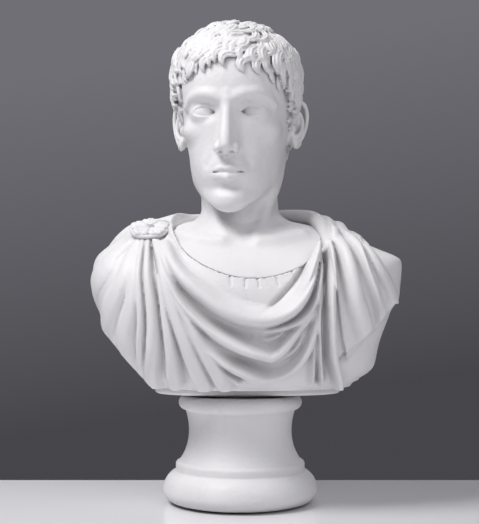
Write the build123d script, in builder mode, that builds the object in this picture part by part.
"""Life-size marble portrait bust in a pinned mantle, on a turned socle that it revolves on.

The frame has +Z up, the sitter faces -Y, and the origin is the middle of the felt that the socle stands on.
All sizes are in millimetres. The bust is held by one threaded rod, which runs down the middle of the socle
to a nut in a recess under the foot. The head and neck are a separate block with a round tenon, let into
the draped torso along the neckline of the tunic.
"""

import os

from build123d import *

# Socle, turned about Z
FELT_RADIUS = 84.0
FELT_THICKNESS = 2.0
SOCLE_TOP = 142.0
FOOT_RADIUS = 102.0
FOOT_WIDEST_Z = 18.0
FOOT_UPPER_ROUND = 27.5
FOOT_UPPER_TURN = 66
FILLET_RADIUS = 85.5
FILLET_TOP_Z = 51.0
FILLET_EASE = 4.5
# The hollow of the waist above the fillet: radius and height
WAIST = [(70.7, 76.0), (68.3, 100.0), (72.8, 123.0)]
# The rolled cap from its lower edge to its flat top: radius and height
CAP_LOWER = (76.3, 124.0)
CAP_WIDEST = (81.7, 131.5)
CAP_UPPER = (77.0, 140.5)
CAP_TOP_RADIUS = 74.7
RECESS_RADIUS = 32.0
RECESS_TOP_Z = 30.0

# Centre fixing: an M12 rod and what is on it
ROD_RADIUS = 6.0
ROD_BOTTOM_Z = 8.0
ROD_TOP_Z = 226.0
ROD_CHAMFER = 1.2
SLEEVE_RADIUS = 10.0
SLEEVE_CLEARANCE = 0.05
WASHER_CLEARANCE = 0.5
RING_CHAMFER = 0.5
SEAT_WASHER_RADIUS = 50.0
SEAT_WASHER_THICKNESS = 3.0
THRUST_WASHER_RADIUS = 28.0
THRUST_WASHER_THICKNESS = 2.0
PLATE_WASHER_RADIUS = 25.0
PLATE_WASHER_THICKNESS = 3.0
SPRING_WASHER_RADIUS = 10.5
SPRING_WASHER_THICKNESS = 3.0
NUT_ACROSS_FLATS = 19.0
NUT_HEIGHT = 10.0
NUT_CHAMFER = 1.4
ANCHOR_RADIUS = 11.0
ANCHOR_TOP_Z = 232.0
GROOVE_PITCH = 12.0
GROOVE_WIDTH = 3.0
GROOVE_DEPTH = 1.0

# Tablet, the thin slab that the drapery ends on
TABLET_BOTTOM_Z = SOCLE_TOP + SEAT_WASHER_THICKNESS
TABLET_TOP_Z = 154.0
TABLET_LEFT, TABLET_RIGHT = 113.0, 133.0
TABLET_FRONT, TABLET_BACK = 63.0, 60.0
TABLET_CHAMFER = 2.5
TABLET_SQUARENESS = 0.66

# Draped torso: height, then reach to the viewer's left and right, to the front and back, and how square
TORSO_SECTIONS = [
    (154, 117, 152, 99, 73, 0.60),
    (172, 142, 181, 110, 84, 0.62),
    (200, 166, 190, 119, 94, 0.64),
    (230, 181, 200, 124, 101, 0.66),
    (265, 191, 211, 124, 105, 0.68),
    (298, 197, 215, 116, 107, 0.68),
    (321, 194, 215, 100, 108, 0.66),
    (334, 184, 193, 88, 107, 0.64),
    (348, 167, 166, 73, 103, 0.62),
    (361, 149, 147, 58, 96, 0.60),
    (372, 126, 129, 46, 87, 0.58),
    (381, 97, 103, 37, 78, 0.56),
    (388, 68, 76, 32, 70, 0.56),
]
CUT_TOP = (-176.0, 225.0)
CUT_BOTTOM = (-112.0, TABLET_TOP_Z)
STUMP_X = 213.0

# Head block: the round tenon, the neck, and the head's own tilted frame
TENON_CENTRE = (15.0, -40.0, 372.0)
TENON_RADIUS = 103.0
BEDDING_GAP = 0.4
BIB_SETBACK = 9.0
NECK_SECTIONS = [
    (348, 14, 70, 62),
    (372, 15, 60, 58),
    (398, 13, 54, 55),
    (425, 11, 54, 57),
    (470, 12, 56, 60),
]
CHIN_POINT = (-3.0, 8.0, 386.0)
HEAD_TURN = 8.0
HEAD_NOD = 3.0
# Height above the chin, half width, reach of the face, reach of the back
HEAD_SECTIONS = [
    (0, 22, 88, -50),
    (10, 40, 93, -24),
    (32, 54, 94, 8),
    (58, 63, 92, 45),
    (86, 70, 91, 80),
    (116, 76, 91, 98),
    (146, 81, 95, 105),
    (176, 83, 95, 106),
    (206, 77, 84, 98),
    (230, 61, 62, 78),
    (246, 38, 34, 50),
    (254, 12, 10, 18),
]
HEAD_SQUARENESS = 0.58
# The nose in profile: reach from the head's axis and height above the chin
NOSE_PROFILE = [(80, 136), (94, 136), (117, 80), (113, 72), (80, 70)]
NOSE_HALF_WIDTH = 15.0
NOSE_TAPER = 12
EAR_H, EAR_BACK = 105.0, 10.0
EAR_RADII = (17.0, 33.0)
EAR_INNER_X, EAR_OUTER_X = 66.0, 89.0

# Shoulder rosette and its pin
ROSETTE_CENTRE = (-117.0, -38.0, 353.0)
ROSETTE_PLANE = Plane(origin=ROSETTE_CENTRE, x_dir=(1, 0, 0), z_dir=(0, -0.45, 0.89))
ROSETTE_RADIUS = 26.0
ROSETTE_THICKNESS = 9.0
ROSETTE_CHAMFER = 2.0
PETAL_COUNT = 5
PETAL_RADIUS = 8.5
PETAL_RING_RADIUS = 13.0
PETAL_HEIGHT = 4.0
PETAL_TAPER = 12
BOSS_RADIUS = 4.5
PIN_RADIUS = 3.0
PIN_DEPTH_IN_TORSO = 34.0
PIN_DEPTH_IN_ROSETTE = 6.0

# Dowel between the torso and the neck
DOWEL_CENTRE = (8.0, 0.0, 0.0)
DOWEL_RADIUS = 7.0
DOWEL_BOTTOM_Z, DOWEL_TOP_Z = 246.0, 330.0


def oval(left, right, front, back, squareness):
    """Four Bezier quarters round the sketch's origin. A squareness of 0.552 gives ellipse quarters."""
    corners = [(right, 0), (0, back), (-left, 0), (0, -front)]
    for (x0, y0), (x1, y1) in zip(corners, corners[1:] + corners[:1]):
        if y0 == 0:
            handles = (x0, y1 * squareness), (x1 + x0 * squareness, y1)
        else:
            handles = (x1 * squareness, y0), (x1, y0 * squareness)
        Bezier((x0, y0), *handles, (x1, y1))


def round_plug(radius, bottom, top, plane=Plane.XY):
    """A cylinder on a plane's axis, from one height above the plane to another."""
    with BuildPart() as made:
        with BuildSketch(plane.offset(bottom)):
            Circle(radius)
        extrude(amount=top - bottom)
    return made.part


def ring(bottom, top, outer, inner, edge=RING_CHAMFER):
    """A washer or collar on the Z axis with both outer edges eased."""
    with BuildPart() as made:
        with BuildSketch(Plane.XY.offset(bottom)):
            Circle(outer)
            Circle(inner, mode=Mode.SUBTRACT)
        extrude(amount=top - bottom)
        rims = made.edges().filter_by(GeomType.CIRCLE).group_by(SortBy.RADIUS)[-1]
        chamfer(rims, length=edge)
    return made.part


def socle():
    """The turned pedestal: a deep round foot, a fillet, a hollow waist and a rolled cap."""
    foot_inner = FOOT_RADIUS - (FOOT_WIDEST_Z - FELT_THICKNESS)
    round_centre = (FOOT_RADIUS - FOOT_UPPER_ROUND, FOOT_WIDEST_Z)
    with BuildPart() as made:
        with BuildSketch(Plane.XZ):
            with BuildLine():
                axis_bottom = Line((0, FELT_THICKNESS), (foot_inner, FELT_THICKNESS))
                lower = CenterArc((foot_inner, FOOT_WIDEST_Z), FOOT_WIDEST_Z - FELT_THICKNESS, -90, 90)
                upper = CenterArc(round_centre, FOOT_UPPER_ROUND, 0, FOOT_UPPER_TURN)
                step = Line(upper @ 1, (FILLET_RADIUS, (upper @ 1).Y))
                band = Line(step @ 1, (FILLET_RADIUS, FILLET_TOP_Z))
                ease = CenterArc((FILLET_RADIUS - FILLET_EASE, FILLET_TOP_Z), FILLET_EASE, 0, 90)
                waist = Spline(ease @ 1, *WAIST)
                under = Line(waist @ 1, CAP_LOWER)
                roll = ThreePointArc(CAP_LOWER, CAP_WIDEST, CAP_UPPER)
                crown = Line(roll @ 1, (CAP_TOP_RADIUS, SOCLE_TOP))
                top = Line(crown @ 1, (0, SOCLE_TOP))
                Line(top @ 1, axis_bottom @ 0)
            make_face()
        revolve(axis=Axis.Z)
        with BuildSketch(Plane.XY.offset(FELT_THICKNESS)):
            Circle(RECESS_RADIUS)
        extrude(amount=RECESS_TOP_Z - FELT_THICKNESS, mode=Mode.SUBTRACT)
        with BuildSketch(Plane.XY.offset(RECESS_TOP_Z)):
            Circle(SLEEVE_RADIUS)
        extrude(amount=SOCLE_TOP - RECESS_TOP_Z, mode=Mode.SUBTRACT)
    return made.part


def foot_felt():
    """The felt disc under the foot, which also closes the recess."""
    with BuildPart() as made:
        with BuildSketch():
            Circle(FELT_RADIUS)
        extrude(amount=FELT_THICKNESS)
    return made.part


def rod_sleeve():
    """The nylon sleeve that the rod turns in."""
    return ring(RECESS_TOP_Z, SOCLE_TOP, SLEEVE_RADIUS, ROD_RADIUS + SLEEVE_CLEARANCE)


def stack():
    """The rings on the rod under the socle, from the recess's roof downwards, and the seat above it."""
    thrust_bottom = RECESS_TOP_Z - THRUST_WASHER_THICKNESS
    plate_bottom = thrust_bottom - PLATE_WASHER_THICKNESS
    spring_bottom = plate_bottom - SPRING_WASHER_THICKNESS
    bore = ROD_RADIUS + WASHER_CLEARANCE
    return {
        "seat_washer": ring(SOCLE_TOP, TABLET_BOTTOM_Z, SEAT_WASHER_RADIUS, bore),
        "thrust_washer": ring(thrust_bottom, RECESS_TOP_Z, THRUST_WASHER_RADIUS, bore),
        "plate_washer": ring(plate_bottom, thrust_bottom, PLATE_WASHER_RADIUS, bore),
        "spring_washer": ring(spring_bottom, plate_bottom, SPRING_WASHER_RADIUS, bore),
        "lock_nut": lock_nut(spring_bottom - NUT_HEIGHT, spring_bottom),
    }


def lock_nut(bottom, top):
    """A hexagon nut with its corners turned off at both ends."""
    turned = ring(bottom, top, NUT_ACROSS_FLATS / 3**0.5, ROD_RADIUS, NUT_CHAMFER)
    with BuildPart() as made:
        with BuildSketch(Plane.XY.offset(bottom)):
            RegularPolygon(NUT_ACROSS_FLATS / 2, 6, major_radius=False)
        extrude(amount=top - bottom)
        add(turned, mode=Mode.INTERSECT)
    return made.part


def centre_rod():
    """The threaded rod, with its ends chamfered."""
    with BuildPart() as made:
        with BuildSketch(Plane.XY.offset(ROD_BOTTOM_Z)):
            Circle(ROD_RADIUS)
        extrude(amount=ROD_TOP_Z - ROD_BOTTOM_Z)
        chamfer(made.edges().filter_by(GeomType.CIRCLE), length=ROD_CHAMFER)
    return made.part


def rod_anchor():
    """The grooved steel sleeve bonded into the torso, tapped for the rod."""
    groove_count = int((ANCHOR_TOP_Z - TABLET_TOP_Z) / GROOVE_PITCH) - 1
    with BuildPart() as made:
        with BuildSketch(Plane.XY.offset(TABLET_TOP_Z)):
            Circle(ANCHOR_RADIUS)
        extrude(amount=ANCHOR_TOP_Z - TABLET_TOP_Z)
        with BuildSketch(Plane.XY.offset(TABLET_TOP_Z)):
            Circle(ROD_RADIUS)
        extrude(amount=ROD_TOP_Z - TABLET_TOP_Z, mode=Mode.SUBTRACT)
        for number in range(groove_count):
            with BuildSketch(Plane.XY.offset(TABLET_TOP_Z + GROOVE_PITCH * (number + 1))):
                Circle(ANCHOR_RADIUS)
                Circle(ANCHOR_RADIUS - GROOVE_DEPTH, mode=Mode.SUBTRACT)
            extrude(amount=GROOVE_WIDTH, mode=Mode.SUBTRACT)
    return made.part


def tablet():
    """The thin slab under the drapery, with its lower edge chamfered and a hole for the rod."""
    with BuildPart() as made:
        with BuildSketch(Plane.XY.offset(TABLET_BOTTOM_Z)):
            with BuildLine():
                oval(TABLET_LEFT, TABLET_RIGHT, TABLET_FRONT, TABLET_BACK, TABLET_SQUARENESS)
            make_face()
        extrude(amount=TABLET_TOP_Z - TABLET_BOTTOM_Z)
        chamfer(made.faces().sort_by(Axis.Z)[0].edges(), length=TABLET_CHAMFER)
        with BuildSketch(Plane.XY.offset(TABLET_BOTTOM_Z)):
            Circle(ROD_RADIUS)
        extrude(amount=TABLET_TOP_Z - TABLET_BOTTOM_Z, mode=Mode.SUBTRACT)
    return made.part


def torso_body(setback):
    """The draped body as one smooth loft, drawn in by a setback, with its two sides cut flat."""
    with BuildPart() as made:
        for height, left, right, front, back, squareness in TORSO_SECTIONS:
            reaches = [reach - setback for reach in (left, right, front, back)]
            with BuildSketch(Plane.XY.offset(height)):
                with BuildLine():
                    oval(*reaches, squareness)
                make_face()
        loft()
        run = Vector(CUT_TOP[0] - CUT_BOTTOM[0], 0, CUT_TOP[1] - CUT_BOTTOM[1])
        outward = Vector(-run.Z, 0, run.X)
        slant = Plane(origin=(CUT_BOTTOM[0] + setback, 0, CUT_BOTTOM[1]), z_dir=outward)
        split(bisect_by=slant, keep=Keep.BOTTOM)
        split(bisect_by=Plane(origin=(STUMP_X - setback, 0, 0), z_dir=(1, 0, 0)), keep=Keep.BOTTOM)
    return made.part


def ball(radius):
    """The ball that shapes the tenon and its socket."""
    with BuildPart() as made:
        with Locations(TENON_CENTRE):
            Sphere(radius)
    return made.part


def dowel():
    """The steel dowel that locks the neck's tenon in its socket."""
    return round_plug(DOWEL_RADIUS, DOWEL_BOTTOM_Z, DOWEL_TOP_Z, Plane(origin=DOWEL_CENTRE))


def rosette_pin():
    """The steel pin that holds the rosette on the shoulder."""
    return round_plug(PIN_RADIUS, -PIN_DEPTH_IN_TORSO, PIN_DEPTH_IN_ROSETTE, ROSETTE_PLANE)


def draped_torso():
    """The torso with its mantle, the round socket for the neck, and the holes for anchor, dowel and pin."""
    body = torso_body(0)
    hollows = [
        ball(TENON_RADIUS),
        neck(BEDDING_GAP),
        round_plug(ANCHOR_RADIUS, TABLET_TOP_Z, ANCHOR_TOP_Z),
        dowel(),
        round_plug(ROSETTE_RADIUS, 0, ROSETTE_RADIUS, ROSETTE_PLANE),
        round_plug(PIN_RADIUS, -PIN_DEPTH_IN_TORSO, 0, ROSETTE_PLANE),
    ]
    with BuildPart() as made:
        add(body)
        add(hollows, mode=Mode.SUBTRACT)
    return made.part


def shoulder_rosette():
    """The round brooch: a rimmed disc with five petals and a middle boss."""
    with BuildPart() as made:
        with BuildSketch(ROSETTE_PLANE):
            Circle(ROSETTE_RADIUS)
        extrude(amount=ROSETTE_THICKNESS)
        chamfer(made.faces().sort_by(Axis.Z)[-1].edges(), length=ROSETTE_CHAMFER)
        with BuildSketch(ROSETTE_PLANE.offset(ROSETTE_THICKNESS)):
            Circle(BOSS_RADIUS)
            with PolarLocations(PETAL_RING_RADIUS, PETAL_COUNT):
                Circle(PETAL_RADIUS)
        extrude(amount=PETAL_HEIGHT, taper=PETAL_TAPER)
        with BuildSketch(ROSETTE_PLANE):
            Circle(PIN_RADIUS)
        extrude(amount=PIN_DEPTH_IN_ROSETTE, mode=Mode.SUBTRACT)
    return made.part


def neck(gap):
    """The neck, leaning forward as it rises, grown by a gap to shape the hollow that it stands in."""
    with BuildPart() as made:
        for height, centre_y, half_width, half_depth in NECK_SECTIONS:
            with BuildSketch(Plane.XY.offset(height)):
                with Locations((0, centre_y)):
                    Ellipse(half_width + gap, half_depth + gap)
        loft()
    return made.part


def head_plane(height):
    """A level plane of the head's own frame, which is turned to the viewer's left and nods forward."""
    frame = Plane.XY.rotated((HEAD_NOD, 0, -HEAD_TURN))
    frame.origin = CHIN_POINT
    return frame.offset(height)


def head():
    """The head as a loft of level sections, with a plain nose and two ears."""
    level = head_plane(0)
    side = Plane(origin=level.origin, x_dir=-level.y_dir, z_dir=-level.x_dir)
    with BuildPart() as made:
        for height, half_width, front, back in HEAD_SECTIONS:
            middle = (back - front) / 2
            reach = (front + back) / 2
            section = head_plane(height)
            section.origin = section.from_local_coords((0, middle))
            with BuildSketch(section):
                with BuildLine():
                    oval(half_width, half_width, reach, reach, HEAD_SQUARENESS)
                make_face()
        loft()
        with BuildSketch(side):
            Polygon(*NOSE_PROFILE, align=None)
        extrude(amount=NOSE_HALF_WIDTH, both=True, taper=NOSE_TAPER)
        for edge_x in (-EAR_OUTER_X, EAR_INNER_X):
            with BuildSketch(side.offset(edge_x)):
                with Locations((-EAR_BACK, EAR_H)):
                    Ellipse(*EAR_RADII)
            extrude(amount=EAR_OUTER_X - EAR_INNER_X)
    return made.part


def head_and_neck():
    """The head, the neck and the bare chest below it, which ends in the round tenon."""
    chest, tenon, neck_post, skull, hole = (
        torso_body(BIB_SETBACK),
        ball(TENON_RADIUS - BEDDING_GAP),
        neck(0),
        head(),
        dowel(),
    )
    with BuildPart() as made:
        add(chest)
        add(tenon, mode=Mode.INTERSECT)
        add([neck_post, skull])
        add(hole, mode=Mode.SUBTRACT)
    return made.part


def main():
    pieces = {
        "socle": socle(),
        "foot_felt": foot_felt(),
        "rod_sleeve": rod_sleeve(),
        **stack(),
        "centre_rod": centre_rod(),
        "rod_anchor": rod_anchor(),
        "bust_tablet": tablet(),
        "draped_torso": draped_torso(),
        "head_and_neck": head_and_neck(),
        "neck_dowel": dowel(),
        "shoulder_rosette": shoulder_rosette(),
        "rosette_pin": rosette_pin(),
    }
    os.makedirs("parts", exist_ok=True)
    for name, piece in pieces.items():
        piece.label = name
        export_step(piece, f"parts/{name}.step")


main()
